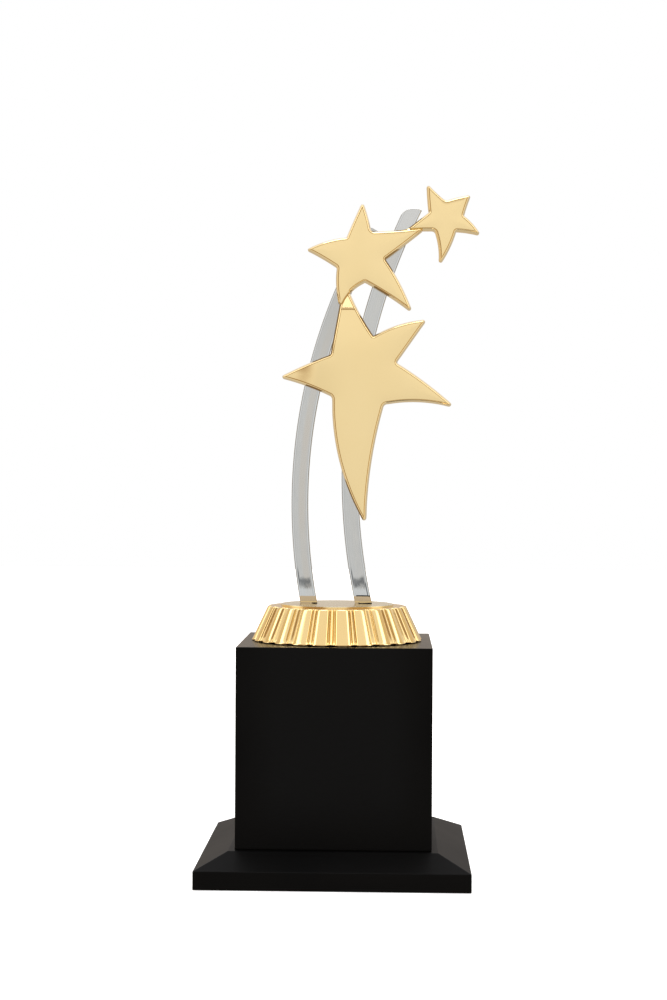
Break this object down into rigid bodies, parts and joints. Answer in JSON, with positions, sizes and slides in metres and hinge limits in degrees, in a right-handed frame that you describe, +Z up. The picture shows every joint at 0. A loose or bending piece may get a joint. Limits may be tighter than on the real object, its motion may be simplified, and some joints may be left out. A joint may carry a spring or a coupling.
{
  "type": "star trophy",
  "caption": "Award trophy: cast stars joined tip to tip on curved metal ribbons, rising from a fluted round collar on a hollow square black plinth with a bevelled slab.",
  "frame": {"origin": "centre of the felt's underside, which rests on the table", "axes": "+Z up, -Y is the front that the stars and the block's plain face point to, +X is to the right seen from the front"},
  "size_m": [0.119, 0.115, 0.2988],
  "materials": {
    "felt": "short pile felt",
    "black_lacquer": "satin black lacquer over board",
    "raw_board": "bare sawn pine",
    "zinc_steel": "bright zinc plating",
    "dark_steel": "black oxide",
    "collar_gold": "bright gold plating",
    "disc_gold": "bright gold plating",
    "ribbon_silver": "polished nickel over steel strip",
    "star_gold": "mirror polished pale gold plating"
  },
  "bodies": {
    "root": {"felt_pad": "felt", "base_slab": "black_lacquer", "plinth_front_board": "black_lacquer", "plinth_back_board": "black_lacquer", "plinth_left_board": "black_lacquer", "plinth_right_board": "black_lacquer", "plinth_top_board": "black_lacquer", "corner_glue_blocks": "raw_board", "tie_rod": "zinc_steel", "tie_nut": "zinc_steel", "lock_washer": "zinc_steel", "tie_washer": "zinc_steel", "fluted_collar": "collar_gold", "centre_disc": "disc_gold", "ribbon_left": "ribbon_silver", "ribbon_right": "ribbon_silver", "ribbon_set_screws": "dark_steel", "star_large": "star_gold", "star_medium": "star_gold", "star_small": "star_gold", "star_screws": "zinc_steel"}
  },
  "joints": []
}
